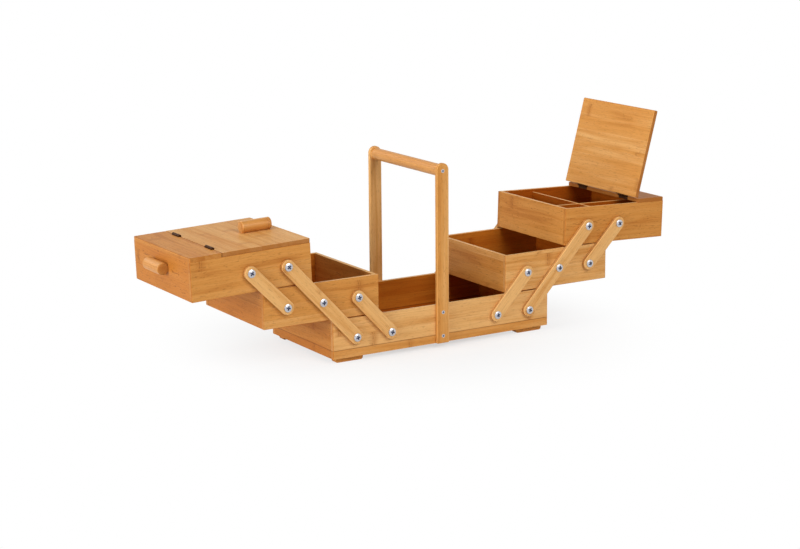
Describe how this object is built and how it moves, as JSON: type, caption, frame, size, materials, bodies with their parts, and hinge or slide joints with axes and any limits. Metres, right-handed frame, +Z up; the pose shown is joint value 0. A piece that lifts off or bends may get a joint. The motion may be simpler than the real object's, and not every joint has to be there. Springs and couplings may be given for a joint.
{
  "type": "cantilever sewing box",
  "caption": "Bamboo carrying box with tiered trays that fan out on flat side links, hinged lids with dowel knobs over the top trays, end pulls and a fixed loop handle.",
  "frame": {"origin": "on the floor under the middle of the base box, midway between the outer ends of the opened trays", "axes": "+X along the box to the right as seen from the front, +Y to the back, +Z up"},
  "size_m": [0.9286, 0.2182, 0.3492],
  "materials": {
    "bamboo": "clear satin lacquer on strip-laminated bamboo, honey brown",
    "dark_bamboo": "clear satin lacquer on darker bamboo",
    "link_bamboo": "clear satin lacquer on paler bamboo bars",
    "zinc": "bright zinc plate",
    "bronze": "dark antique bronze"
  },
  "bodies": {
    "base": {"base_long_walls": "bamboo", "base_end_walls": "bamboo", "base_bottom": "dark_bamboo", "base_feet": "dark_bamboo", "base_sleeves": "zinc", "base_bolts": "zinc", "front_upright": "link_bamboo", "back_upright": "link_bamboo", "handle_grip": "bamboo", "upright_screws": "zinc", "grip_screws": "zinc"},
    "left_long_links": {"left_long_links": "link_bamboo"},
    "left_lower_links": {"left_lower_links": "link_bamboo"},
    "left_upper_links": {"left_upper_links": "link_bamboo"},
    "left_mid_tray": {"left_mid_long_walls": "bamboo", "left_mid_end_walls": "bamboo", "left_mid_bottom": "dark_bamboo", "left_mid_sleeves": "zinc", "left_mid_bolts": "zinc"},
    "left_top_tray": {"left_top_long_walls": "bamboo", "left_top_end_walls": "bamboo", "left_top_bottom": "dark_bamboo", "left_top_sleeves": "zinc", "left_top_bolts": "zinc", "left_long_divider": "bamboo", "left_cross_divider": "bamboo", "left_strip": "bamboo", "left_pull": "bamboo", "left_strip_leaves": "bronze", "left_hinge_pins": "bronze", "left_strip_screws": "bronze"},
    "left_lid_body": {"left_lid": "bamboo", "left_knob": "bamboo", "left_lid_leaves": "bronze", "left_lid_screws": "bronze"},
    "right_long_links": {"right_long_links": "link_bamboo"},
    "right_lower_links": {"right_lower_links": "link_bamboo"},
    "right_upper_links": {"right_upper_links": "link_bamboo"},
    "right_mid_tray": {"right_mid_long_walls": "bamboo", "right_mid_end_walls": "bamboo", "right_mid_bottom": "dark_bamboo", "right_mid_sleeves": "zinc", "right_mid_bolts": "zinc"},
    "right_top_tray": {"right_top_long_walls": "bamboo", "right_top_end_walls": "bamboo", "right_top_bottom": "dark_bamboo", "right_top_sleeves": "zinc", "right_top_bolts": "zinc", "right_long_divider": "bamboo", "right_cross_divider": "bamboo", "right_strip": "bamboo", "right_pull": "bamboo", "right_strip_leaves": "bronze", "right_hinge_pins": "bronze", "right_strip_screws": "bronze"},
    "right_lid_body": {"right_lid": "bamboo", "right_knob": "bamboo", "right_lid_leaves": "bronze", "right_lid_screws": "bronze"}
  },
  "joints": [
    {"name": "left_fold", "type": "hinge", "parent": "base", "child": "left_long_links", "pos_m": [-0.1645, 0, 0.04], "axis": [0, 1, 0], "range_deg": [0, 86.97]},
    {"name": "left_mid_level", "type": "hinge", "parent": "left_long_links", "child": "left_mid_tray", "pos_m": [-0.22421, 0, 0.10375], "axis": [0, 1, 0], "range_deg": [-86.97, 0]},
    {"name": "left_top_level", "type": "hinge", "parent": "left_long_links", "child": "left_top_tray", "pos_m": [-0.28392, 0, 0.1675], "axis": [0, 1, 0], "range_deg": [-84.97, 0]},
    {"name": "left_lower_fold", "type": "hinge", "parent": "base", "child": "left_lower_links", "pos_m": [-0.1011, 0, 0.04], "axis": [0, 1, 0], "range_deg": [0, 86.97]},
    {"name": "left_upper_fold", "type": "hinge", "parent": "left_mid_tray", "child": "left_upper_links", "pos_m": [-0.28671, 0, 0.10375], "axis": [0, 1, 0], "range_deg": [0, 87.96]},
    {"name": "left_lid_hinge", "type": "hinge", "parent": "left_top_tray", "child": "left_lid_body", "pos_m": [-0.39269, 0, 0.20203], "axis": [0, -1, 0], "range_deg": [0, 103]},
    {"name": "right_fold", "type": "hinge", "parent": "base", "child": "right_long_links", "pos_m": [0.1645, 0, 0.04], "axis": [0, -1, 0], "range_deg": [0, 86.97]},
    {"name": "right_mid_level", "type": "hinge", "parent": "right_long_links", "child": "right_mid_tray", "pos_m": [0.22421, 0, 0.10375], "axis": [0, -1, 0], "range_deg": [-86.97, 0]},
    {"name": "right_top_level", "type": "hinge", "parent": "right_long_links", "child": "right_top_tray", "pos_m": [0.28392, 0, 0.1675], "axis": [0, -1, 0], "range_deg": [-84.97, 0]},
    {"name": "right_lower_fold", "type": "hinge", "parent": "base", "child": "right_lower_links", "pos_m": [0.1011, 0, 0.04], "axis": [0, -1, 0], "range_deg": [0, 86.97]},
    {"name": "right_upper_fold", "type": "hinge", "parent": "right_mid_tray", "child": "right_upper_links", "pos_m": [0.28671, 0, 0.10375], "axis": [0, -1, 0], "range_deg": [0, 87.96]},
    {"name": "right_lid_hinge", "type": "hinge", "parent": "right_top_tray", "child": "right_lid_body", "pos_m": [0.39269, 0, 0.20203], "axis": [0, -1, 0], "range_deg": [0, 103]}
  ],
  "couplings": [
    {"joint": "left_mid_level", "follows": "left_fold", "ratio": -1},
    {"joint": "left_top_level", "follows": "left_fold", "ratio": -0.977},
    {"joint": "left_lower_fold", "follows": "left_fold", "ratio": 1},
    {"joint": "left_upper_fold", "follows": "left_fold", "ratio": 1.0114},
    {"joint": "right_mid_level", "follows": "right_fold", "ratio": -1},
    {"joint": "right_top_level", "follows": "right_fold", "ratio": -0.977},
    {"joint": "right_lower_fold", "follows": "right_fold", "ratio": 1},
    {"joint": "right_upper_fold", "follows": "right_fold", "ratio": 1.0114}
  ]
}
